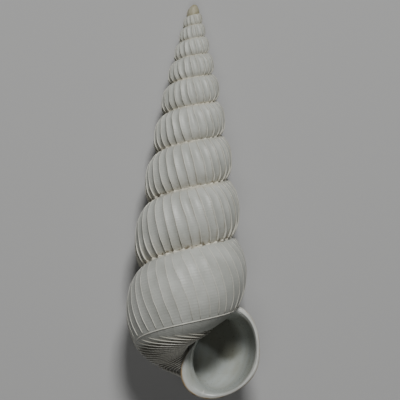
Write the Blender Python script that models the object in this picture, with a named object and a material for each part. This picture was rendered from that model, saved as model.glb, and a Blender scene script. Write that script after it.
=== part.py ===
"""Wentletrap shell: a tall ribbed spiral, hollow up from its mouth, lying on its back.

Metres, +Z up. The shell lies along Y with its tip towards +Y and its mouth facing up.
Turns count back from the mouth: turn 0 is the mouth, turn -1 is one whorl older.
"""
import bpy
import bmesh
from math import ceil, cos, exp, hypot, pi, radians, sin, sqrt
from mathutils import Matrix, Vector

MM = 0.001

# Suture, the seam between two whorls: its radius and its depth below the point
# of the growth cone at turn -1, in millimetres, and how fast both grow.
SUTURE_RADIUS = 6.157
RADIUS_GROWTH = (0.14357, -0.01187, -0.00015)
SUTURE_DEPTH = 40.83
DEPTH_GROWTH = (0.26628, 0.00278, 0.00056)
LAST_TURN_SLOWING = 1.40
FIRST_TURN = -11.18
TIP_ROUNDING_TURNS = 1.2

# Whorl profile, as fractions of the whorl's height.
BULGE = 0.175
BULGE_NEAR_TIP = 0.070
BULGE_EASING = 0.015
BULGE_PEAK = 0.825
BULGE_SQUARENESS = 2.2

# Ribs: low folds that lean back from the upper seam to the lower one.
COLUMNS_PER_WHORL = 54
SLANT_COLUMNS = 3
RIB_RELIEF = 0.012
RIBS_FROM_TURN = -9.0
WHORL_ROWS = (0.0, 0.12, 0.33, 0.57, 0.81, 1.0)

# Base of the last whorl, from the cord that continues the seam to the pillar.
BASE_START = radians(30.0)
BASE_DROP = 0.60
BASE_DROP_EASING = 0.06
BASE_DROP_AT_MOUTH = 0.10
BASE_ROWS = 5
PILLAR_RADIUS = 0.50
PILLAR_FOOT_DEPTH = 47.3

# Mouth, in the plane of turn 0: an egg-shaped opening that leans out at its top.
# The last whorl swells into the throat behind it, and a flared lip goes round it.
# Radius and depth in millimetres, angles from the opening's lower end.
MOUTH_CENTRE = (4.48, 46.46)
MOUTH_HALF = (4.92, 3.70)
MOUTH_LEAN = radians(26.4)
MOUTH_EGG = 0.079
THROAT_HALF = (5.42, 4.12)
THROAT_TURNS = 0.32
SEAM_ANGLE = radians(201.0)
CORD_ANGLE = radians(72.0)
PILLAR_ANGLE = radians(-12.0)
LIP_CENTRE = (4.58, 46.44)
LIP_RADIUS = 5.25
LIP_OVAL = 0.97
LIP_OVAL_LEAN = radians(65.0)
LIP_CORNERS = 0.45
LIP_CORNERS_TURN = radians(28.0)
LIP_THICKNESS = 0.90
LIP_OVERLAP = 0.25
LIP_STEP = 0.06
LIP_STEPS = 36

# Hollow, as fractions of the whorl's mean seam radius and height.
HOLLOW_TURNS = 4.0
HOLLOW_STEPS = 20
HOLLOW_SIDES = 16
HOLLOW_CENTRE = (0.615, 0.590)
HOLLOW_HALF = (0.480, 0.440)
HOLLOW_LEAN = radians(20.0)
HOLLOW_REACH = 1.2

# How the shell lies: rolled about its axis, then let down onto its whorls.
ROLL = radians(-3.05)
AXIS_SLOPE = radians(9.27)


def clamp(value, low, high):
    return max(low, min(high, value))


def mix(a, b, factor):
    return a + (b - a) * factor


def growth(rates, turns):
    return exp(rates[0] * turns + rates[1] * turns ** 2 + rates[2] * turns ** 3)


def open_suture(turn):
    """Radius and depth of the seam under a whorl, before the tip is rounded."""
    slowing = LAST_TURN_SLOWING * max(0.0, turn + 1.5) ** 2
    return (SUTURE_RADIUS * growth(RADIUS_GROWTH, turn + 1),
            SUTURE_DEPTH * growth(DEPTH_GROWTH, turn + 1) - slowing)


def suture(turn):
    progress = clamp((turn - FIRST_TURN) / TIP_ROUNDING_TURNS, 0.0, 1.0)
    opening = sqrt(1.0 - (1.0 - progress) ** 2)
    radius, depth = open_suture(max(turn, FIRST_TURN))
    return radius * opening, mix(open_suture(FIRST_TURN)[1], depth, opening)


def smooth(value):
    value = clamp(value, 0.0, 1.0)
    return value * value * (3.0 - 2.0 * value)


def egg_point(centre, half, lean, egg, angle):
    along = half[0] * cos(angle)
    across = half[1] * (1.0 + egg * cos(angle)) * sin(angle)
    return (centre[0] - along * sin(lean) + across * cos(lean),
            centre[1] + along * cos(lean) + across * sin(lean))


def lip_point(angle):
    """Outer edge of the lip: a round outline drawn out to an oval with soft corners."""
    around = MOUTH_LEAN + pi / 2 - angle
    reach = (LIP_RADIUS + LIP_OVAL * cos(2.0 * (around + LIP_OVAL_LEAN))
             + LIP_CORNERS * cos(3.0 * (around - LIP_CORNERS_TURN)))
    return LIP_CENTRE[0] + reach * cos(around), LIP_CENTRE[1] + reach * sin(around)


def into_throat(radius, depth, turn, angle):
    throat = egg_point(MOUTH_CENTRE, THROAT_HALF, MOUTH_LEAN, MOUTH_EGG, angle)
    factor = smooth((turn + THROAT_TURNS) / THROAT_TURNS)
    return mix(radius, throat[0], factor), mix(depth, throat[1], factor)


def whorl_point(turn, v, fold):
    """Radius and depth on a whorl's wall, v from its upper seam to its lower one."""
    upper_radius, upper_depth = suture(turn - 1)
    lower_radius, lower_depth = suture(turn)
    height = lower_depth - upper_depth
    bulge = mix(BULGE, BULGE_NEAR_TIP, clamp((-5.0 - turn) / 6.0, 0.0, 1.0))
    bulge -= BULGE_EASING * smooth(2.0 * turn + 2.0)
    arch = 1.0 - abs(2.0 * v ** BULGE_PEAK - 1.0) ** BULGE_SQUARENESS
    relief = fold * RIB_RELIEF * min(1.0, 6.0 * v * (1.0 - v))
    radius = mix(upper_radius, lower_radius, v) + (bulge * arch + relief) * height
    return into_throat(radius, upper_depth + height * v, turn,
                       mix(SEAM_ANGLE, CORD_ANGLE, v))


def base_point(turn, w, fold):
    """Radius and depth on the base, w from the cord to the pillar."""
    radius, depth = suture(turn)
    height = depth - suture(turn - 1)[1]
    drop = BASE_DROP - BASE_DROP_EASING * clamp(-4.0 * turn - 3.0, 0.0, 1.0)
    drop = mix(drop, BASE_DROP_AT_MOUTH, clamp((turn + 0.55) / 0.55, 0.0, 1.0))
    angle = mix(BASE_START, pi / 2, w)
    reach = (radius - PILLAR_RADIUS) / cos(BASE_START)
    relief = fold * RIB_RELIEF * height * min(1.0, 5.0 * w * (1.0 - w))
    return into_throat(PILLAR_RADIUS + (reach + relief) * cos(angle),
                       depth + drop * height * (sin(angle) - 0.5) + relief * sin(angle),
                       turn, mix(CORD_ANGLE, PILLAR_ANGLE, w))


def in_space(radius, depth, turn):
    angle = 2.0 * pi * turn
    return Vector((radius * cos(angle), -depth, radius * sin(angle))) * MM


def make_object(name, points, faces, collection):
    mesh = bpy.data.meshes.new(name)
    mesh.from_pydata(points, [], faces)
    shape = bmesh.new()
    shape.from_mesh(mesh)
    bmesh.ops.recalc_face_normals(shape, faces=shape.faces)
    shape.to_mesh(mesh)
    shape.free()
    obj = bpy.data.objects.new(name, mesh)
    collection.objects.link(obj)
    return obj


def make_spiral(collection):
    """All the whorls and the base, closed by a flat face in the mouth's plane."""
    rows = len(WHORL_ROWS) - 1
    above = COLUMNS_PER_WHORL - SLANT_COLUMNS
    slant = SLANT_COLUMNS / COLUMNS_PER_WHORL
    columns = ceil((0.1 - FIRST_TURN) * COLUMNS_PER_WHORL)
    points = [in_space(0.0, open_suture(FIRST_TURN)[1], 0.0)]
    faces = []

    def add(point, turn):
        points.append(in_space(*point, turn))
        return len(points) - 1

    # A column's top is a point of the seam that the whorl above already has.
    grid = []
    cord_turns = []
    for k in range(columns):
        top = (k + 1 - columns) / COLUMNS_PER_WHORL
        lean = slant * clamp(-top / 0.28, 0.0, 1.0)
        fold = clamp(top - RIBS_FROM_TURN, 0.0, 1.0) * (1.0 if (columns - k) % 2 else -1.0)
        column = [grid[k - above][rows] if k >= above else 0]
        for v in WHORL_ROWS[1:]:
            turn = top - lean * v
            column.append(add(whorl_point(turn, v, fold), turn) if turn > FIRST_TURN else 0)
        grid.append(column)
        cord_turns.append(top - lean)

    base = []
    for k in range(columns - above - 1, columns):
        fold = 1.0 if (columns - k) % 2 else -1.0
        column = [grid[k][rows]]
        for j in range(1, BASE_ROWS + 1):
            column.append(add(base_point(cord_turns[k], j / BASE_ROWS, fold), cord_turns[k]))
        base.append(column)

    for strip in (grid, base):
        for left, right in zip(strip, strip[1:]):
            for j in range(len(left) - 1):
                corners = []
                for corner in (left[j], right[j], right[j + 1], left[j + 1]):
                    if corner not in corners:
                        corners.append(corner)
                if len(corners) > 2:
                    faces.append(corners)

    # The pillar's foot closes on the axis, and so does the mouth's flat face.
    foot = add((0.0, PILLAR_FOOT_DEPTH), 0.0)
    for left, right in zip(base, base[1:]):
        faces.append((left[-1], right[-1], foot))
    faces.append(grid[-1] + base[-1][1:] + [foot] + base[0][:0:-1])
    return make_object("shell", points, faces, collection)


def make_tube(name, rings, closed, collection):
    """Skin over a row of rings, either joined end to end or capped."""
    sides = len(rings[0])
    points = [point for ring in rings for point in ring]
    count = len(rings)
    faces = []
    for i in range(count if closed else count - 1):
        here = i * sides
        there = (i + 1) % count * sides
        for j in range(sides):
            k = (j + 1) % sides
            faces.append((here + j, here + k, there + k, there + j))
    if not closed:
        faces.append(tuple(range(sides)))
        faces.append(tuple(range((count - 1) * sides, count * sides)))
    return make_object(name, points, faces, collection)


def make_lip(collection):
    """Ring that follows the mouth, wide where the outline stands off from the opening."""
    rings = []
    for i in range(LIP_STEPS):
        angle = 2.0 * pi * i / LIP_STEPS
        outer = lip_point(angle)
        inner = egg_point(MOUTH_CENTRE, MOUTH_HALF, MOUTH_LEAN, MOUTH_EGG, angle)
        width = hypot(outer[0] - inner[0], outer[1] - inner[1])
        overlap = -LIP_OVERLAP / width
        ring = []
        for j in range(8):
            turn = 2.0 * pi * (j + 0.5) / 8
            reach = mix(overlap, 1.0, 0.5 + 0.5 * cos(turn))
            height = LIP_THICKNESS / 2 * sin(turn) + LIP_STEP
            ring.append(Vector((mix(inner[0], outer[0], reach),
                                -mix(inner[1], outer[1], reach), height)) * MM)
        rings.append(ring)
    return make_tube("lip_ring", rings, True, collection)


def make_hollow(collection):
    """Tunnel that winds up inside the whorls and comes out through the mouth."""
    rings = []
    steps = int(HOLLOW_TURNS * HOLLOW_STEPS)
    for i in range(steps + 1):
        turn = -HOLLOW_TURNS * (1.0 - i / steps)
        upper_radius, upper_depth = suture(turn - 1)
        lower_radius, lower_depth = suture(turn)
        mean = (upper_radius + lower_radius) / 2
        height = lower_depth - upper_depth
        mouth = smooth((turn + THROAT_TURNS) / THROAT_TURNS)
        centre = (mix(mean * HOLLOW_CENTRE[0], MOUTH_CENTRE[0], mouth),
                  mix(upper_depth + height * HOLLOW_CENTRE[1], MOUTH_CENTRE[1], mouth))
        half = (mix(height * HOLLOW_HALF[1], MOUTH_HALF[0], mouth),
                mix(mean * HOLLOW_HALF[0], MOUTH_HALF[1], mouth))
        lean = mix(HOLLOW_LEAN, MOUTH_LEAN, mouth)
        rings.append([in_space(*egg_point(centre, half, lean, MOUTH_EGG * mouth,
                                          2.0 * pi * j / HOLLOW_SIDES), turn)
                      for j in range(HOLLOW_SIDES)])
    rings.append([point + Vector((0.0, -0.3, 1.0)) * HOLLOW_REACH * MM for point in rings[-1]])
    return make_tube("hollow", rings, False, collection)


def join_boolean(obj, operand, operation):
    modifier = obj.modifiers.new(operand.name, "BOOLEAN")
    modifier.operation = operation
    modifier.object = operand
    modifier.solver = "EXACT"
    operand.hide_render = True
    operand.display_type = "WIRE"


def lay_down(objects):
    """Turn the meshes into their resting pose and bring the box's floor centre to 0."""
    pose = Matrix.Rotation(-AXIS_SLOPE, 4, "X") @ Matrix.Rotation(ROLL, 4, "Y")
    for obj in objects:
        obj.data.transform(pose)
    lowest = Vector((1.0, 1.0, 1.0))
    highest = -lowest
    for obj in objects[:2]:
        for vertex in obj.data.vertices:
            for axis in range(3):
                lowest[axis] = min(lowest[axis], vertex.co[axis])
                highest[axis] = max(highest[axis], vertex.co[axis])
    middle = (lowest + highest) / 2
    shift = Matrix.Translation((-middle.x, -middle.y, -lowest.z))
    for obj in objects:
        obj.data.transform(shift)


def shell_material():
    material = bpy.data.materials.new("shell_white")
    material.use_nodes = True
    shader = material.node_tree.nodes["Principled BSDF"]
    shader.inputs["Base Color"].default_value = (0.60, 0.60, 0.56, 1.0)
    shader.inputs["Roughness"].default_value = 0.42
    shader.inputs["Metallic"].default_value = 0.0
    return material


for old in list(bpy.data.objects):
    bpy.data.objects.remove(old, do_unlink=True)

parts = bpy.data.collections.new("wentletrap_shell")
cutters = bpy.data.collections.new("cutters")
bpy.context.scene.collection.children.link(parts)
bpy.context.scene.collection.children.link(cutters)

shell = make_spiral(parts)
lip_ring = make_lip(cutters)
hollow = make_hollow(cutters)
lay_down([shell, lip_ring, hollow])
join_boolean(shell, lip_ring, "UNION")
join_boolean(shell, hollow, "DIFFERENCE")
shell.data.materials.append(shell_material())
shell.data.shade_smooth()
shell.data.set_sharp_from_angle(angle=radians(35.0))
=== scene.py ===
import math

import bpy
from mathutils import Matrix, Vector


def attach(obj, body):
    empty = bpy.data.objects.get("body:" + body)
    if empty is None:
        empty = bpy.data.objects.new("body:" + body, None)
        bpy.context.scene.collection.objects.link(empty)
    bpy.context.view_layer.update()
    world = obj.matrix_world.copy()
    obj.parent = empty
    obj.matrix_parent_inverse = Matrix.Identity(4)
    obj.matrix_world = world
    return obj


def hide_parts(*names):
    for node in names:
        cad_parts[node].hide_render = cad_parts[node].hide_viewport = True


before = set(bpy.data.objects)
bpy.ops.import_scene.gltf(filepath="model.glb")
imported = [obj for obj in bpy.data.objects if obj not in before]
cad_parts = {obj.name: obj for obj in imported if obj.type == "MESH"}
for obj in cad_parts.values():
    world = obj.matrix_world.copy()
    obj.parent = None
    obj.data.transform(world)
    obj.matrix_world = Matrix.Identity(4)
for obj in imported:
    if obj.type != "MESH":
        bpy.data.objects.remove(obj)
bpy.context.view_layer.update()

millimetre = 0.001
fullTurn = 2.0 * math.pi
weldDistance = 0.0000015  # points closer than this are merged

# The growth law. Lengths are in millimetres and depths run from the point of the growth cone
# towards the mouth. Turns count back from the mouth, where the turn is 0.
growthLaw = {
    "sutureRadius": 6.157,
    "radiusRate": 0.14357,
    "radiusRateSlope": -0.01187,
    "radiusRateCurve": -0.00015,
    "sutureDepth": 40.83,
    "depthRate": 0.26628,
    "depthRateSlope": 0.00278,
    "depthRateCurve": 0.00056,
    "lastTurnSlowing": 1.40,
    "slowingFromTurn": -1.5,
    "firstTurn": -11.18,
    "tipRounding": 1.2,
    "bulge": 0.175,
    "bulgeNearTip": 0.070,
    "nearTipFromTurn": -5.0,
    "nearTipTurns": 6.0,
    "bulgeAtTip": 0.130,
    "atTipFromTurn": -8.6,
    "atTipTurns": 1.4,
    "bulgeEasing": 0.015,
    "bulgePeak": 0.825,
    "bulgeSquareness": 2.2,
    "baseStart": math.radians(30.0),
    "baseDrop": 0.60,
    "baseDropEasing": 0.06,
    "baseDropAtMouth": 0.10,
    "baseDropMouthTurns": 0.55,
    "pillarRadius": 0.50,
}

# The mouth lies in the plane of turn 0: an egg-shaped opening inside a flared lip.
mouth = {
    "mouthRadius": 4.48,
    "mouthDepth": 46.46,
    "mouthHalfLength": 4.92,
    "mouthHalfWidth": 3.70,
    "mouthLean": math.radians(26.4),
    "mouthEgg": 0.079,
    "throatHalfLength": 5.42,
    "throatHalfWidth": 4.12,
    "throatTurns": 0.32,
    "seamHold": 0.12,
    "seamAngle": math.radians(201.0),
    "cordAngle": math.radians(72.0),
    "pillarAngle": math.radians(-12.0),
}

# Ribs: many on the last whorl and fewer on each older one, leaning back across the whorl.
ribs = {
    "ribsPerTurn": 35.5,
    "ribsFewerEachTurn": 2.45,
    "columnSlant": 1.0 / 18.0,
    "straightenTurn": -0.28,
    "ribSlant": 0.033,
    "ribSlantAdded": 0.045,
    "ribSlantFade": 0.5,
    "ribBow": 0.30,
    "ribWander": 0.50,
    "ribWanderLength": 1.3,
    "ribWanderStep": 7.31,
    "ribsFromTurn": -9.8,
    "foldHeight": 0.0090,
    "foldHeightOlder": 0.029,
    "foldOlderFromTurn": -0.9,
    "foldOlderTurns": 1.2,
    "foldHeightNearTip": 0.085,
    "foldNearTipFromTurn": -2.5,
    "foldNearTipTurns": 3.5,
    "foldCurve": 1.8,
    "plainShare": 0.5,  # what a piece with no folds of its own gives as its share
}

# How the shell lies on its back: turned, then let down onto the floor.
rest = {
    "roll": math.radians(-3.05),
    "slope": math.radians(-9.27),
    "shift": Vector((-0.72309, 26.68177, 1.60585)),
}
restTurn = Matrix.Rotation(rest["slope"], 4, "X") @ Matrix.Rotation(rest["roll"], 4, "Y")
restPlace = Matrix.Translation(rest["shift"] * millimetre) @ restTurn


# A socket that stands in a Python expression, and the tree that it belongs to.
class Value:
    def __init__(self, graph, socket):
        self.graph = graph
        self.socket = socket

    def __add__(self, term):
        return self.graph.math("ADD", self, term)

    def __radd__(self, term):
        return self.graph.math("ADD", term, self)

    def __sub__(self, term):
        return self.graph.math("SUBTRACT", self, term)

    def __rsub__(self, term):
        return self.graph.math("SUBTRACT", term, self)

    def __mul__(self, term):
        return self.graph.math("MULTIPLY", self, term)

    def __rmul__(self, term):
        return self.graph.math("MULTIPLY", term, self)

    def __truediv__(self, term):
        return self.graph.math("DIVIDE", self, term)

    def __rtruediv__(self, term):
        return self.graph.math("DIVIDE", term, self)

    def __neg__(self):
        return self.graph.math("MULTIPLY", self, -1.0)

    def output(self, index):
        return Value(self.graph, self.socket.node.outputs[index])


class Graph:
    def __init__(self, tree):
        self.tree = tree

    def add(self, kind, settings=None, sockets=None, output=0):
        node = self.tree.nodes.new(kind)
        for name, value in (settings or {}).items():
            setattr(node, name, value)
        for name, value in (sockets or {}).items():
            if isinstance(value, Value):
                self.tree.links.new(value.socket, node.inputs[name])
            else:
                node.inputs[name].default_value = value
        return Value(self, node.outputs[output])

    def math(self, operation, *terms):
        return self.add("ShaderNodeMath", {"operation": operation}, dict(enumerate(terms)))


# Each of these takes plain numbers and gives a number, or takes a socket and adds a Math node.
def either(operation, plain):
    def function(*terms):
        for term in terms:
            if isinstance(term, Value):
                return term.graph.math(operation, *terms)
        return plain(*terms)
    return function


cosine = either("COSINE", math.cos)
sine = either("SINE", math.sin)
naturalPower = either("EXPONENT", math.exp)
squareRoot = either("SQRT", math.sqrt)
power = either("POWER", math.pow)
magnitude = either("ABSOLUTE", abs)
lesser = either("MINIMUM", min)
greater = either("MAXIMUM", max)
floorOf = either("FLOOR", math.floor)


def clamp(value, low=0.0, high=1.0):
    return lesser(greater(value, low), high)


def mix(a, b, factor):
    return a + (b - a) * factor


def smooth(value):
    held = clamp(value)
    return held * held * (3.0 - 2.0 * held)


# The growth law works on numbers and on sockets alike.
def openSuture(s, turn):
    t = turn + 1.0
    slowed = greater(turn - s["slowingFromTurn"], 0.0)
    radius = s["sutureRadius"] * naturalPower(
        t * (s["radiusRate"] + t * (s["radiusRateSlope"] + t * s["radiusRateCurve"])))
    depth = s["sutureDepth"] * naturalPower(
        t * (s["depthRate"] + t * (s["depthRateSlope"] + t * s["depthRateCurve"])))
    return radius, depth - s["lastTurnSlowing"] * slowed * slowed


def suture(s, turn):
    progress = clamp((turn - s["firstTurn"]) / s["tipRounding"])
    opening = squareRoot(greater(1.0 - (1.0 - progress) * (1.0 - progress), 0.0))
    radius, depth = openSuture(s, greater(turn, s["firstTurn"]))
    return radius * opening, mix(openSuture(s, s["firstTurn"])[1], depth, opening)


def eggPoint(s, halfLength, halfWidth, angle):
    along = halfLength * cosine(angle)
    across = halfWidth * (1.0 + s["mouthEgg"] * cosine(angle)) * sine(angle)
    lean = s["mouthLean"]
    return (s["mouthRadius"] - along * sine(lean) + across * cosine(lean),
            s["mouthDepth"] + along * cosine(lean) + across * sine(lean))


# Draws a point of the wall in to the mouth's outline, then raises it outwards by so much.
def intoThroat(s, radius, depth, turn, angle, hold, raised, outward):
    throat = eggPoint(s, s["throatHalfLength"], s["throatHalfWidth"], angle)
    factor = smooth((turn + s["throatTurns"]) / s["throatTurns"]) * hold
    aside = throat[0] - s["mouthRadius"]
    down = throat[1] - s["mouthDepth"]
    reach = squareRoot(aside * aside + down * down)
    return (mix(radius, throat[0], factor) + raised * mix(outward[0], aside / reach, factor),
            mix(depth, throat[1], factor) + raised * mix(outward[1], down / reach, factor))


# Radius and depth on a whorl's wall, where across runs from its upper seam to its lower one.
def whorlPoint(s, turn, across, relief):
    upperRadius, upperDepth = suture(s, turn - 1.0)
    lowerRadius, lowerDepth = suture(s, turn)
    height = lowerDepth - upperDepth
    bulge = mix(s["bulge"], s["bulgeNearTip"], clamp((s["nearTipFromTurn"] - turn) / s["nearTipTurns"]))
    bulge = mix(bulge, s["bulgeAtTip"], smooth((s["atTipFromTurn"] - turn) / s["atTipTurns"]))
    bulge = bulge - s["bulgeEasing"] * smooth(2.0 * turn + 2.0)
    bow = magnitude(2.0 * power(across, s["bulgePeak"]) - 1.0)
    arch = 1.0 - power(bow, s["bulgeSquareness"])
    radius = mix(upperRadius, lowerRadius, across) + bulge * arch * height
    return intoThroat(s, radius, upperDepth + height * across, turn,
                      mix(s["seamAngle"], s["cordAngle"], across),
                      clamp(across / s["seamHold"]), relief * height, (1.0, 0.0))


# Radius and depth on the base, where inward runs from the cord to the pillar.
def basePoint(s, turn, inward, relief):
    radius, depth = suture(s, turn)
    height = depth - suture(s, turn - 1.0)[1]
    drop = s["baseDrop"] - s["baseDropEasing"] * clamp(-4.0 * turn - 3.0)
    mouthTurns = s["baseDropMouthTurns"]
    drop = mix(drop, s["baseDropAtMouth"], clamp((turn + mouthTurns) / mouthTurns))
    angle = mix(s["baseStart"], math.pi / 2, inward)
    reach = (radius - s["pillarRadius"]) / cosine(s["baseStart"])
    return intoThroat(s, s["pillarRadius"] + reach * cosine(angle),
                      depth + drop * height * (sine(angle) - 0.5),
                      turn, mix(s["cordAngle"], s["pillarAngle"], inward), 1.0,
                      relief * height, (cosine(angle), sine(angle)))


def ribCount(s, turn):
    return -turn * (s["ribsPerTurn"] + turn * s["ribsFewerEachTurn"] / 2.0)


def ribTurn(s, count):
    rate = s["ribsPerTurn"]
    fewer = s["ribsFewerEachTurn"]
    return (squareRoot(rate * rate - 2.0 * fewer * count) - rate) / fewer


# How far a line leans back by here: nothing at the upper seam, and less and less near the mouth.
def leaning(s, slant, turn, across):
    return slant * clamp(turn / s["straightenTurn"]) * across * (1.0 + s["ribBow"] * (1.0 - across))


def ribOffset(s, turn, across):
    slant = s["ribSlant"] + s["ribSlantAdded"] * naturalPower(s["ribSlantFade"] * (turn + 0.5))
    return leaning(s, slant, turn, across)


# Where the rib that starts at the seam at turn top stands further down the whorl.
def ribLean(s, top, across):
    turn = top
    for step in range(3):
        turn = top - ribOffset(s, turn, across)
    return turn


# Where rib number n really stands, counted in ribs: each wanders a little along its length.
def ribPlace(graph, s, n, across):
    where = graph.add("ShaderNodeCombineXYZ", {}, {0: n * s["ribWanderStep"],
                                                   1: across * s["ribWanderLength"]})
    noise = graph.add("ShaderNodeTexNoise", {"noise_dimensions": "2D"},
                      {"Vector": where, "Scale": 1.0, "Detail": 3.0}, "Fac")
    return n + (noise - 0.5) * s["ribWander"]


# Share of the way from one rib's crest to the next one's.
def ribShare(graph, s, turn, across):
    count = ribCount(s, turn + ribOffset(s, turn, across))
    n = floorOf(count + 0.5)
    here = ribPlace(graph, s, n, across)
    before = ribPlace(graph, s, n - 1.0, across)
    after = ribPlace(graph, s, n + 1.0, across)
    past = graph.math("GREATER_THAN", count, here)
    start = mix(before, here, past)
    end = mix(here, after, past)
    return (count - start) / (end - start)


# The wall is hollowed a little between the ribs and comes to an edge along each one.
def foldShape(s, share):
    return power(magnitude(2.0 * share - 1.0), s["foldCurve"])


def foldRelief(s, turn):
    older = smooth((s["foldOlderFromTurn"] - turn) / s["foldOlderTurns"])
    nearTip = clamp((s["foldNearTipFromTurn"] - turn) / s["foldNearTipTurns"])
    scale = mix(mix(s["foldHeight"], s["foldHeightOlder"], older), s["foldHeightNearTip"], nearTip)
    return scale * clamp(turn - s["ribsFromTurn"])


def openTree(name, sizes):
    tree = bpy.data.node_groups.new(name, "GeometryNodeTree")
    for label, value in sizes.items():
        kind = "NodeSocketInt" if isinstance(value, int) else "NodeSocketFloat"
        tree.interface.new_socket(name=label, in_out="INPUT", socket_type=kind)
    tree.interface.new_socket(name="Geometry", in_out="OUTPUT", socket_type="NodeSocketGeometry")
    graph = Graph(tree)
    entry = tree.nodes.new("NodeGroupInput")
    return graph, {label: Value(graph, entry.outputs[label]) for label in sizes}


# A grid whose points know their column and row.
def openGrid(graph, columns, rows):
    grid = graph.add("GeometryNodeMeshGrid", {}, {"Vertices X": columns, "Vertices Y": rows}, "Mesh")
    index = graph.add("GeometryNodeInputIndex")
    column = floorOf(index / rows)
    return grid, column, index - column * rows


def named(graph, geometry, label, value):
    return graph.add("GeometryNodeStoreNamedAttribute", {"data_type": "FLOAT", "domain": "POINT"},
                     {"Geometry": geometry, "Name": label, "Value": value})


def recalled(graph, label):
    return graph.add("GeometryNodeInputNamedAttribute", {"data_type": "FLOAT"},
                     {"Name": label}, "Attribute")


# Every piece carries these, for its material to read.
def mapped(graph, geometry, across, turn, share):
    geometry = named(graph, geometry, "across", across)
    geometry = named(graph, geometry, "turn", turn)
    return named(graph, geometry, "share", share)


# A narrow strip for each rib, whose points know the rib, their place along it and their side.
def ribStrips(graph, count, rows, sides):
    strip, row, side = openGrid(graph, rows, sides)
    strip = named(graph, strip, "along", row / (rows - 1.0))
    strip = named(graph, strip, "side", side / (sides - 1.0))
    points = graph.add("GeometryNodePoints", {}, {"Count": count})
    points = named(graph, points, "rib", graph.add("GeometryNodeInputIndex") + 1.0)
    strips = graph.add("GeometryNodeInstanceOnPoints", {}, {"Points": points, "Instance": strip})
    return graph.add("GeometryNodeRealizeInstances", {}, {"Geometry": strips})


def placed(graph, geometry, radius, depth, turn, forward=0.0):
    angle = turn * fullTurn
    where = graph.add("ShaderNodeCombineXYZ", {}, {
        0: radius * cosine(angle) * millimetre,
        1: depth * -millimetre,
        2: (radius * sine(angle) + forward) * millimetre})
    return graph.add("GeometryNodeSetPosition", {}, {"Geometry": geometry, "Position": where})


def joined(graph, *parts):
    node = graph.tree.nodes.new("GeometryNodeJoinGeometry")
    for part in reversed(parts):
        graph.tree.links.new(part.socket, node.inputs[0])
    return Value(graph, node.outputs[0])


# Ends the tree, runs it once, and keeps the result as a plain mesh.
def closeTree(piece, graph, geometry, sizes, material):
    geometry = graph.add("GeometryNodeRealizeInstances", {}, {"Geometry": geometry})
    geometry = graph.add("GeometryNodeMergeByDistance", {}, {"Geometry": geometry,
                                                              "Distance": weldDistance})
    geometry = graph.add("GeometryNodeTransform", {}, {
        "Geometry": geometry,
        "Translation": rest["shift"] * millimetre,
        "Rotation": restTurn.to_euler("XYZ")})
    geometry = graph.add("GeometryNodeSetShadeSmooth", {}, {"Geometry": geometry})
    geometry = graph.add("GeometryNodeSetMaterial", {}, {"Geometry": geometry, "Material": material})
    end = graph.tree.nodes.new("NodeGroupOutput")
    graph.tree.links.new(geometry.socket, end.inputs["Geometry"])

    obj = bpy.data.objects.new(piece, bpy.data.meshes.new(piece))
    bpy.context.scene.collection.objects.link(obj)
    modifier = obj.modifiers.new("shape", "NODES")
    modifier.node_group = graph.tree
    for item in graph.tree.interface.items_tree:
        if item.in_out == "INPUT":
            modifier[item.identifier] = sizes[item.name]
    shaped = obj.evaluated_get(bpy.context.evaluated_depsgraph_get())
    mesh = bpy.data.meshes.new_from_object(shaped)
    obj.modifiers.clear()
    obj.data = mesh
    mesh.name = piece
    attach(obj, "root")
    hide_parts("shell")
    print(piece, "has", sum(len(face.vertices) - 2 for face in mesh.polygons), "triangles")
    return obj


whorlRows = {"rows": 30, "rowCrowding": 0.55}

spireSizes = {"columns": 1242, "startTop": -11.35, "endTop": -3.68}
lowerSizes = {"columns": 1591, "startTop": -3.68, "endTop": 0.0, "baseColumns": 409, "baseRows": 26,
              "pillarFootDepth": 47.3, "baseFold": 0.3}


def wallStrip(graph, s, columns, startTop, endTop):
    grid, column, row = openGrid(graph, columns, s["rows"])
    even = row / (s["rows"] - 1.0)
    across = mix(even, 0.5 - 0.5 * cosine(even * math.pi), s["rowCrowding"])
    top = mix(startTop, endTop, column / (columns - 1.0))
    turn = top - leaning(s, s["columnSlant"], top, across)
    share = ribShare(graph, s, turn, across)
    edge = clamp(6.0 * across * (1.0 - across))
    relief = foldShape(s, share) * foldRelief(s, turn) * edge
    radius, depth = whorlPoint(s, turn, across, relief)
    grid = mapped(graph, grid, across, turn, share)
    return placed(graph, grid, radius, depth, turn)


def baseStrip(graph, s):
    grid, column, row = openGrid(graph, s["baseColumns"], s["baseRows"])
    inward = clamp(row / (s["baseRows"] - 2.0))
    foot = graph.math("GREATER_THAN", row, s["baseRows"] - 1.5)
    top = mix(s["columnSlant"] - 1.0, 0.0, column / (s["baseColumns"] - 1.0))
    turn = top - leaning(s, s["columnSlant"], top, 1.0)
    share = ribShare(graph, s, turn, 1.0)
    edge = clamp(5.0 * inward * (1.0 - inward))
    relief = foldShape(s, share) * foldRelief(s, turn) * edge * s["baseFold"]
    radius, depth = basePoint(s, turn, inward, relief)
    grid = mapped(graph, grid, 1.0 + inward, turn, share)
    return placed(graph, grid, radius * (1.0 - foot), mix(depth, s["pillarFootDepth"], foot), turn)


def makeSpire(material):
    sizes = {**growthLaw, **mouth, **ribs, **whorlRows, **spireSizes}
    graph, s = openTree("spireTree", sizes)
    strip = wallStrip(graph, s, s["columns"], s["startTop"], s["endTop"])
    return closeTree("spire_whorls", graph, strip, sizes, material)


def makeLowerWhorls(material):
    sizes = {**growthLaw, **mouth, **ribs, **whorlRows, **lowerSizes}
    graph, s = openTree("lowerTree", sizes)
    strip = wallStrip(graph, s, s["columns"], s["startTop"], s["endTop"])
    return closeTree("lower_whorls", graph, joined(graph, strip, baseStrip(graph, s)), sizes, material)


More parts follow.
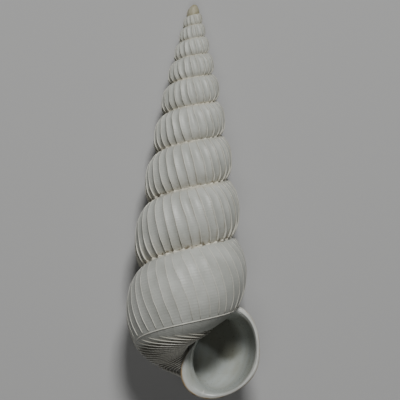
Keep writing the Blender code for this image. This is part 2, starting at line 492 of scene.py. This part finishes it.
bladeSizes = {
    "bladeCount": 236,
    "bladeRows": 22,
    "bladeSides": 7,
    "bladeHalfWidth": 0.048,
    "bladeMid": 0.0025,
    "bladeMidNearTip": 0.012,
    "bladeLow": 0.036,
    "bladeHigh": 0.020,
    "bladeSink": 0.006,
    "bladeSweep": 2.0,
    "bladeLowFrom": 0.55,
    "bladeLowLength": 0.42,
    "bladeHighTo": 0.13,
    "bladeHighLength": 0.11,
    "bladeLastWhorlTurn": -1.25,
    "bladeLastWhorlTurns": 0.35,
    "bladeLastWhorlLess": 0.8,
    "bladeTipwardFromTurn": -1.5,
    "bladeTipwardTurns": 4.0,
    "bladeUpperEnd": 30.0,
    "bladeLowerEnd": 26.0,
}


# One thin upright strip for each rib, low across the whorl and tall next to the seams.
def makeBlades(material):
    sizes = {**growthLaw, **mouth, **ribs, **bladeSizes}
    graph, s = openTree("bladeTree", sizes)
    blades = ribStrips(graph, s["bladeCount"], s["bladeRows"], s["bladeSides"])
    across = recalled(graph, "along")
    loop = recalled(graph, "side") * fullTurn
    number = recalled(graph, "rib")
    top = ribTurn(s, ribPlace(graph, s, number, across))
    turn = ribLean(s, top, across)
    ends = smooth(across * s["bladeUpperEnd"]) * smooth((1.0 - across) * s["bladeLowerEnd"])
    low = smooth((across - s["bladeLowFrom"]) / s["bladeLowLength"])
    high = smooth((s["bladeHighTo"] - across) / s["bladeHighLength"])
    lastWhorl = smooth((turn - s["bladeLastWhorlTurn"]) / s["bladeLastWhorlTurns"])
    tipward = clamp((s["bladeTipwardFromTurn"] - turn) / s["bladeTipwardTurns"])
    mid = mix(s["bladeMid"], s["bladeMidNearTip"], tipward)
    tall = s["bladeLow"] * low + s["bladeHigh"] * high
    rise = (mid + tall * (1.0 - s["bladeLastWhorlLess"] * lastWhorl)) * clamp(turn - s["ribsFromTurn"])
    lift = (0.5 + 0.5 * sine(loop)) * (rise + s["bladeSink"]) - s["bladeSink"]
    edge = clamp(6.0 * across * (1.0 - across))
    relief = foldRelief(s, turn) * edge + lift * ends
    radius, depth = whorlPoint(s, turn, across, relief)
    width = s["bladeHalfWidth"] * cosine(loop) * ends
    sweep = greater(lift, 0.0) * ends * s["bladeSweep"]
    aside = (width - sweep) / greater(radius, 0.2) / fullTurn
    blades = mapped(graph, blades, across, turn, s["plainShare"])
    blades = placed(graph, blades, radius, depth, turn + aside)
    return closeTree("rib_blades", graph, blades, sizes, material)


lamellaSizes = {
    "lamellaCount": 32,
    "lamellaRows": 30,
    "lamellaSides": 11,
    "lamellaStart": 0.02,
    "lamellaStartAtMouth": 0.50,
    "lamellaHalfWidth": 0.062,
    "lamellaFullRadius": 3.5,
    "lamellaHeight": 0.048,
    "lamellaSink": 0.010,
    "lamellaSwirl": 0.44,
    "lamellaSwirlPower": 1.4,
    "lamellaMouthTurn": -0.55,
    "lamellaMouthTurns": 0.25,
    "lamellaLeast": 0.35,
    "lamellaLastTurn": -0.995,
}


# The ribs carry on over the base as thin plates that close in on the pillar.
def makeLamellae(material):
    sizes = {**growthLaw, **mouth, **ribs, **lamellaSizes}
    graph, s = openTree("lamellaTree", sizes)
    plates = ribStrips(graph, s["lamellaCount"], s["lamellaRows"], s["lamellaSides"])
    along = recalled(graph, "along")
    loop = recalled(graph, "side") * fullTurn
    top = ribTurn(s, ribPlace(graph, s, recalled(graph, "rib"), 1.0))
    turn = ribLean(s, top, 1.0)
    start = mix(s["lamellaStart"], s["lamellaStartAtMouth"],
                smooth((s["lamellaMouthTurn"] - turn) / s["lamellaMouthTurns"]))
    inward = mix(start, 1.0, along)
    swept = turn - s["lamellaSwirl"] * power(inward, s["lamellaSwirlPower"])
    ends = squareRoot(smooth(along * 1.6)) * smooth((1.0 - along) * 12.0) * smooth((swept + 1.01) / 0.03)
    turn = greater(swept, s["lamellaLastTurn"])
    radius, depth = basePoint(s, turn, inward, 0.0)
    inner = clamp(radius / s["lamellaFullRadius"], s["lamellaLeast"])
    up = 0.5 + 0.5 * sine(loop)
    lift = up * (s["lamellaHeight"] * inner + s["lamellaSink"]) - s["lamellaSink"]
    radius, depth = basePoint(s, turn, inward, lift * ends)
    width = s["lamellaHalfWidth"] * inner * ends
    aside = width * cosine(loop) / greater(radius, 0.6) / fullTurn
    plates = mapped(graph, plates, 1.0 + inward, turn, s["plainShare"])
    # root marks each plate's lower side next to the base, where the material paints shade.
    plates = named(graph, plates, "root", smooth((0.95 - up) / 0.45) * smooth(inward / 0.25))
    plates = placed(graph, plates, radius, depth, turn + aside)
    return closeTree("base_lamellae", graph, plates, sizes, material)


cordSizes = {"cordSteps": 3200, "cordSides": 9, "cordStart": -9.6,
             "beadGirth": 0.042, "beadSpacing": 7.3, "beadUneven": 1.6, "beadAcross": 0.965,
             "cordGirth": 0.0085, "cordAcross": 0.5, "cordEnds": 90.0,
             "cordFromTurn": -1.12, "cordFadeTurns": 0.12}


# The thin cord that runs down the seam, beaded by the ribs, and on round the base.
def makeCord(material):
    sizes = {**growthLaw, **mouth, **ribs, **cordSizes}
    graph, s = openTree("cordTree", sizes)
    grid, step, side = openGrid(graph, s["cordSteps"], s["cordSides"])
    along = step / (s["cordSteps"] - 1.0)
    loop = side / (s["cordSides"] - 1.0) * fullTurn
    turn = mix(s["cordStart"], 0.0, along)
    share = ribShare(graph, s, turn, 1.0)
    last = smooth((turn - s["cordFromTurn"]) / s["cordFadeTurns"])
    count = ribCount(s, turn)
    spaced = count / s["beadSpacing"]
    uneven = 1.0 + s["beadUneven"] * (ribPlace(graph, s, spaced, 3.0) - spaced)
    beads = s["beadGirth"] * (0.20 + 0.80 * foldShape(s, share)) * uneven
    even = s["cordGirth"] * (0.80 + 0.35 * foldShape(s, share))
    height = suture(s, turn)[1] - suture(s, turn - 1.0)[1]
    ends = smooth(along * s["cordEnds"]) * smooth((1.0 - along) * s["cordEnds"])
    girth = mix(beads, even, last) * height * ends
    radius, depth = whorlPoint(s, turn, 1.0, 0.0)
    grid = mapped(graph, grid, mix(s["beadAcross"], s["cordAcross"], last), turn, s["plainShare"])
    grid = placed(graph, grid, radius + girth * cosine(loop), depth + girth * sine(loop), turn)
    return closeTree("seam_cord", graph, grid, sizes, material)


liningSizes = {
    "liningTurns": 2.2,
    "liningSteps": 260,
    "lipSteps": 64,
    "mouthSides": 129,
    "openTurns": 0.22,
    "liningOut": 0.690,
    "liningDown": 0.590,
    "liningHalfWidth": 0.395,
    "liningHalfLength": 0.440,
    "liningLean": math.radians(20.0),
    "setBack": 0.95,
    "setBackTurns": 0.12,
    "lipTurnBack": 0.032,
    "lipRadius": 4.58,
    "lipDepth": 46.44,
    "lipReach": 5.25,
    "lipOval": 0.97,
    "lipOvalLean": math.radians(65.0),
    "lipCorners": 0.45,
    "lipCornersTurn": math.radians(28.0),
    "lipFlare": 0.92,
    "lipForward": 0.42,
    "lipEdgeDrop": 0.20,
    "lipThickness": 0.40,
    "lipTuck": 0.08,
    "lipEdgeThickness": 0.24,
    "lipLines": 9.0,
    "lipLineHeight": 0.014,
    "wideFlare": 0.12,
    "wideFlareAngle": math.radians(-35.0),
}


# The inside of the mouth and its lip, as one skin: it starts out of sight up the whorls, winds
# down to the mouth, flares over the front of the lip, and turns back behind the lip's edge.
def makeMouth(material):
    sizes = {**growthLaw, **mouth, **liningSizes}
    graph, s = openTree("mouthTree", sizes)
    steps = s["liningSteps"] + s["lipSteps"] + 1.0
    grid, step, side = openGrid(graph, steps, s["mouthSides"])
    angle = side / (s["mouthSides"] - 1.0) * fullTurn
    along = clamp(step / s["liningSteps"])
    overLip = clamp((step - s["liningSteps"]) / s["lipSteps"])

    turn = mix(-s["liningTurns"], -s["lipTurnBack"], along)
    upperRadius, upperDepth = suture(s, turn - 1.0)
    lowerRadius, lowerDepth = suture(s, turn)
    mean = (upperRadius + lowerRadius) / 2.0
    height = lowerDepth - upperDepth
    opening = smooth((turn + s["lipTurnBack"]) / s["openTurns"] + 1.0)
    end = smooth(along * 12.0)
    centreRadius = mix(mean * s["liningOut"], s["mouthRadius"], opening)
    centreDepth = mix(upperDepth + height * s["liningDown"], s["mouthDepth"], opening)
    wide = 0.5 + 0.5 * cosine(angle - s["wideFlareAngle"])
    narrowed = 1.0 - s["wideFlare"] * wide * wide * opening
    halfLength = mix(height * s["liningHalfLength"], s["mouthHalfLength"], opening) * end * narrowed
    halfWidth = mix(mean * s["liningHalfWidth"], s["mouthHalfWidth"], opening) * end * narrowed
    lean = mix(s["liningLean"], s["mouthLean"], opening)
    alongEgg = halfLength * cosine(angle)
    acrossEgg = halfWidth * (1.0 + s["mouthEgg"] * opening * cosine(angle)) * sine(angle)
    innerRadius = centreRadius - alongEgg * sine(lean) + acrossEgg * cosine(lean)
    innerDepth = centreDepth + alongEgg * cosine(lean) + acrossEgg * sine(lean)

    around = s["mouthLean"] + math.pi / 2 - angle
    reach = (s["lipReach"] + s["lipOval"] * cosine(2.0 * (around + s["lipOvalLean"]))
             + s["lipCorners"] * cosine(3.0 * (around - s["lipCornersTurn"])))
    outerRadius = s["lipRadius"] + reach * cosine(around)
    outerDepth = s["lipDepth"] + reach * sine(around)
    share = 0.5 - 0.5 * cosine(overLip * fullTurn)
    facing = clamp((0.5 - overLip) * 6.0 + 0.5)
    spread = share + s["lipTuck"] * (1.0 - facing) * (1.0 - smooth(share / 0.5))
    throatward = power(1.0 - clamp(share / s["lipFlare"]), 3.0)
    lines = sine(share * s["lipLines"]) * s["lipLineHeight"] * smooth((share - 0.3) / 0.3)
    front = mix(s["lipForward"], -s["setBack"], throatward)
    front = front - s["lipEdgeDrop"] * smooth((share - 0.6) / 0.4)
    thickness = mix(s["lipThickness"], s["lipEdgeThickness"], smooth(share))
    back = -s["setBack"] * smooth((turn + s["lipTurnBack"]) / s["setBackTurns"] + 1.0)
    forward = back + s["setBack"] + front + lines * facing - thickness * (1.0 - facing)
    onLip = graph.math("GREATER_THAN", overLip, 0.0)
    forward = mix(back, forward, onLip)
    turn = mix(turn, -s["lipTurnBack"] * throatward, onLip)

    grid = mapped(graph, grid, share, turn, facing)
    grid = named(graph, grid, "around", angle)
    grid = placed(graph, grid, mix(innerRadius, outerRadius, spread),
                  mix(innerDepth, outerDepth, spread), turn, forward)
    return closeTree("mouth_lining", graph, grid, sizes, material)


def openMaterial(name):
    material = bpy.data.materials.new(name)
    material.use_nodes = True
    graph = Graph(material.node_tree)
    where = graph.add("ShaderNodeTexCoord", {}, {}, "Object")
    where = graph.add("ShaderNodeVectorMath", {"operation": "SCALE"}, {0: where, "Scale": 1.0 / millimetre})
    return material, graph, where  # where is in millimetres


def closeMaterial(material, graph, finish, colour, grain, height):
    shader = material.node_tree.nodes["Principled BSDF"]
    rough = finish["roughness"] + (grain - 0.5) * finish["roughnessChange"]
    bump = graph.add("ShaderNodeBump", {}, {
        "Height": height, "Strength": finish["bumpStrength"], "Distance": finish["bumpDistance"]})
    for label, value in (("Base Color", colour), ("Roughness", rough), ("Normal", bump)):
        material.node_tree.links.new(value.socket, shader.inputs[label])
    return material


def attribute(graph, label):
    return graph.add("ShaderNodeAttribute", {"attribute_name": label}, {}, "Fac")


def noise(graph, where, scale, detail=2.0):
    return graph.add("ShaderNodeTexNoise", {}, {"Vector": where, "Scale": scale, "Detail": detail}, "Fac")


def blended(graph, factor, a, b):
    return graph.add("ShaderNodeMix", {"data_type": "RGBA"}, {0: factor, 6: a, 7: b}, 2)


shellFinish = {
    "chalk": (0.56, 0.57, 0.53, 1.0),
    "shade": (0.42, 0.43, 0.39, 1.0),
    "cream": (0.58, 0.53, 0.40, 1.0),
    "brown": (0.11, 0.080, 0.040, 1.0),
    "baseShadeAndHighlight": (0.085, 0.078, 0.058, 1.0),
    "crest": (0.72, 0.71, 0.66, 1.0),
    "root": (0.19, 0.175, 0.135, 1.0),
    "paintedShade": (0.27, 0.24, 0.17, 1.0),
    "apex": (0.30, 0.26, 0.13, 1.0),
    "olderFromTurn": -0.8,
    "olderTurns": 0.5,
    "tipwardFromTurn": -1.5,
    "tipwardTurns": 4.0,
    "apexFromTurn": -8.2,
    "apexTurns": 2.2,
    "gapFromNearMouth": 1.10,
    "gapFromBehind": 1.55,
    "gapBehindTurn": -0.50,
    "gapBehindTurns": 0.40,
    "striaeAcross": 150.0,
    "striaeHeight": 0.15,
    "roughness": 0.44,
    "roughnessChange": 0.2,
    "bumpStrength": 0.35,
    "bumpDistance": 0.00006,
}
# The same shell white painted lighter for the raised blades, base plates and cord: a painted highlight.
crestHighlightFinish = {
    **shellFinish,
    "chalk": (0.71, 0.70, 0.63, 1.0),
    "shade": (0.57, 0.56, 0.49, 1.0),
    "baseShadeAndHighlight": (0.82, 0.81, 0.74, 1.0),
    "paintedShade": (0.62, 0.60, 0.52, 1.0),
}


def makeShellMaterial(name, finish):
    material, graph, where = openMaterial(name)
    across = attribute(graph, "across")
    turn = attribute(graph, "turn")
    share = attribute(graph, "share")
    broad = noise(graph, where, 0.35)
    grain = noise(graph, where, 5.0, 4.0)
    streak = noise(graph, where, 1.6, 3.0)
    colour = blended(graph, clamp((broad - 0.35) * 2.0 + (grain - 0.5) * 0.6),
                     finish["shade"], finish["chalk"])
    older = smooth((finish["olderFromTurn"] - turn) / finish["olderTurns"])
    tipward = clamp((finish["tipwardFromTurn"] - turn) / finish["tipwardTurns"])
    colour = blended(graph, tipward * 0.35, colour, finish["shade"])
    # Painted shade: a dark line beside each rib crest, broken up by noise, stronger on older whorls.
    paintedShade = smooth((share - 0.84) / 0.09) * clamp((streak - 0.25) * 3.0) * mix(0.25, 0.60, older)
    colour = blended(graph, clamp(paintedShade), colour, finish["paintedShade"])
    # Painted highlight: a lighter line along each rib crest, strongest towards the tip.
    crest = smooth((0.11 - share) / 0.09) + smooth((share - 0.94) / 0.04)
    colour = blended(graph, clamp(crest) * mix(0.10, 0.75, tipward), colour, finish["crest"])
    # Painted shade: each older whorl is darkened towards its lower seam, in patches.
    low = smooth((across - 0.60) / 0.40) * smooth((1.05 - across) / 0.05) * older
    colour = blended(graph, clamp(low * (streak - 0.10) * 0.9), colour, finish["paintedShade"])
    seam = smooth((across - 0.90) / 0.09) * smooth((1.05 - across) / 0.05)
    seam = (seam + smooth((0.07 - across) / 0.07)) * older
    colour = blended(graph, clamp(seam * (broad - 0.2) * 1.2), colour, finish["cream"])
    pits = smooth((streak - 0.54) / 0.07) * seam * smooth((across - 0.5) / 0.3) * (1.0 - 0.6 * tipward)
    colour = blended(graph, clamp(pits * 0.85), colour, finish["brown"])
    # Painted shade on the base wall between the plates; in the lighter raised-parts material the same mask
    # paints the plates lighter, as painted highlight.
    behind = smooth((finish["gapBehindTurn"] - turn) / finish["gapBehindTurns"])
    gapFrom = mix(finish["gapFromNearMouth"], finish["gapFromBehind"], behind)
    plates = smooth((across - gapFrom) / 0.12)
    colour = blended(graph, plates * 0.85, colour, finish["baseShadeAndHighlight"])
    # Painted shade at the foot of each base plate, read from its root attribute.
    colour = blended(graph, attribute(graph, "root") * 0.85, colour, finish["root"])
    apex = smooth((finish["apexFromTurn"] - turn) / finish["apexTurns"])
    colour = blended(graph, apex * 0.85, colour, finish["apex"])
    striae = sine(across * finish["striaeAcross"]) * finish["striaeHeight"]
    return closeMaterial(material, graph, finish, colour, grain, grain * 0.6 + streak * 0.8 + striae)


mouthFinish = {
    "white": (0.66, 0.66, 0.61, 1.0),
    "grey": (0.43, 0.45, 0.425, 1.0),
    "glaze": (0.40, 0.43, 0.41, 1.0),
    "olive": (0.31, 0.31, 0.245, 1.0),
    "insideShade": (0.085, 0.085, 0.06, 1.0),
    "edge": (0.33, 0.22, 0.10, 1.0),
    "roughness": 0.30,
    "roughnessChange": 0.2,
    "bumpStrength": 0.40,
    "bumpDistance": 0.00006,
    "wideAngle": math.radians(-30.0),
    "shadowFoot": (4.6, -21.3),
    "shadowSlope": 0.60,
    "shadowEdge": 1.3,
    "deepFromTurn": -0.24,
    "deepTurns": 0.24,
    "deepMost": 0.7,
    "ringsAcross": 34.0,
    "ringWander": 9.0,
    "streaksAround": 2.0,
    "streaksAcross": 11.0,
}


# A glossy grey inside that turns to chalky white over the lip, with a stained outer edge. The dark V inside
# the mouth is painted shadow, standing in for the shadow of the lip: it is placed by the shell's own
# coordinates, in millimetres.
def makeMouthMaterial():
    finish = mouthFinish
    material, graph, where = openMaterial("mouth_glaze")
    across = attribute(graph, "across")
    turn = attribute(graph, "turn")
    broad = noise(graph, where, 0.45)
    middling = noise(graph, where, 0.8)
    grain = noise(graph, where, 3.5, 3.0)
    stripe = 0.5 + 0.5 * sine(ribCount(ribs, turn) * fullTurn)
    lining = blended(graph, clamp((broad - 0.35) * 1.2 + stripe * 0.2 + (grain - 0.5) * 0.2),
                     finish["glaze"], finish["olive"])
    # Painted shadow: a dark V inside the mouth, placed by the shell's own coordinates.
    place = graph.add("ShaderNodeSeparateXYZ", {}, {"Vector": where})
    footX, footY = finish["shadowFoot"]
    paintedShadow = place.output(1) - footY - finish["shadowSlope"] * magnitude(place - footX) + (broad - 0.5)
    paintedShadow = smooth(paintedShadow / finish["shadowEdge"]) * smooth((-0.06 - turn) / 0.06)
    # Painted shade: the lining darkens further in along the whorls, and the painted shadow joins it.
    farIn = smooth((finish["deepFromTurn"] - turn) / finish["deepTurns"])
    insideShade = greater(farIn * finish["deepMost"], paintedShadow)
    lining = blended(graph, insideShade * 0.80, lining, finish["insideShade"])
    rings = 0.5 + 0.5 * sine(across * finish["ringsAcross"] + middling * finish["ringWander"])
    around = attribute(graph, "around")
    flow = graph.add("ShaderNodeCombineXYZ", {}, {
        0: cosine(around) * finish["streaksAround"],
        1: sine(around) * finish["streaksAround"],
        2: across * finish["streaksAcross"]})
    streaks = smooth((noise(graph, flow, 1.0, 3.0) - 0.40) / 0.22)
    chalk = blended(graph, clamp(rings * 0.3 + streaks * 0.7), finish["white"], finish["grey"])
    wide = smooth(0.5 + 0.5 * cosine(around - finish["wideAngle"]))
    outside = smooth((across - mix(0.30, 0.50, wide)) / mix(0.15, 0.50, wide))
    colour = blended(graph, outside, lining, chalk)
    rim = smooth((across - 0.85) / 0.11) * clamp((middling - 0.25) * 3.0) * mix(0.55, 1.0, wide)
    colour = blended(graph, clamp(rim), colour, finish["edge"])
    height = (rings * 0.4 + streaks * 1.2) * outside + stripe * 0.3 + grain * 0.4
    return closeMaterial(material, graph, finish, colour, grain, height)


camera = {
    "tilt": math.radians(4.0),
    "turn": math.radians(1.169),
    "aim": (1.288, 26.86),
    "viewWidth": 50.89,
    "distance": 600.0,
    "sensor": 36.0,
    "clipStart": 0.05,
    "clipEnd": 5.0,
}


# The camera looks square at the mouth, from over the shell, with the tip at the top.
def makeCamera():
    tilt = camera["tilt"]
    turn = camera["turn"]
    side = Vector((1.0, 0.0, 0.0))
    back = Vector((0.0, -math.sin(tilt), math.cos(tilt)))
    down = Vector((0.0, -math.cos(tilt), -math.sin(tilt)))
    right = side * math.cos(turn) - down * math.sin(turn)
    up = -(side * math.sin(turn) + down * math.cos(turn))
    aim = side * camera["aim"][0] + down * camera["aim"][1]
    place = (aim + back * camera["distance"]) * millimetre
    matrix = Matrix((right, up, back)).transposed().to_4x4()
    matrix.translation = place
    data = bpy.data.cameras.new("camera")
    data.sensor_width = camera["sensor"]
    data.lens = camera["sensor"] * camera["distance"] / camera["viewWidth"]
    data.clip_start = camera["clipStart"]
    data.clip_end = camera["clipEnd"]
    obj = bpy.data.objects.new("camera", data)
    obj.matrix_world = restPlace @ matrix
    bpy.context.scene.collection.objects.link(obj)
    bpy.context.scene.camera = obj


studio = {
    "floorHalf": 1.5,
    "floorColour": (0.44, 0.44, 0.435, 1.0),  # a mid grey
    "floorRoughness": 0.9,
    "worldStrength": 0.02,
    "lights": [
        ("key_light", (0.02, 0.37, 0.42), 0.12, 2.8),
        ("fill_light", (-0.04, -0.06, 0.50), 0.20, 0.35),
    ],
}


def makeFloorMaterial():
    material = bpy.data.materials.new("floor_grey")
    material.use_nodes = True
    shader = material.node_tree.nodes["Principled BSDF"]
    shader.inputs["Base Color"].default_value = studio["floorColour"]
    shader.inputs["Roughness"].default_value = studio["floorRoughness"]
    return material


def makeStudio():
    half = studio["floorHalf"]
    mesh = bpy.data.meshes.new("floor")
    mesh.from_pydata([(-half, -half, 0), (half, -half, 0), (half, half, 0), (-half, half, 0)],
                     [], [(0, 1, 2, 3)])
    mesh.materials.append(makeFloorMaterial())
    floor = bpy.data.objects.new("floor", mesh)
    bpy.context.scene.collection.objects.link(floor)
    world = bpy.data.worlds.new("studio")
    world.use_nodes = True
    background = world.node_tree.nodes["Background"]
    background.inputs["Color"].default_value = (1.0, 1.0, 1.0, 1.0)
    background.inputs["Strength"].default_value = studio["worldStrength"]
    bpy.context.scene.world = world
    for name, place, size, power in studio["lights"]:
        data = bpy.data.lights.new(name, "AREA")
        data.size = size
        data.energy = power
        obj = bpy.data.objects.new(name, data)
        obj.location = place
        obj.rotation_euler = (-Vector(place)).to_track_quat("-Z", "Y").to_euler()
        bpy.context.scene.collection.objects.link(obj)


makeCamera()
makeStudio()
print("camera, floor and lights are in place")
shellWhite = makeShellMaterial("shell_white", shellFinish)
makeSpire(shellWhite)
makeLowerWhorls(shellWhite)
crestHighlightWhite = makeShellMaterial("crest_white_highlight", crestHighlightFinish)
makeBlades(crestHighlightWhite)
makeLamellae(crestHighlightWhite)
makeCord(crestHighlightWhite)
makeMouth(makeMouthMaterial())
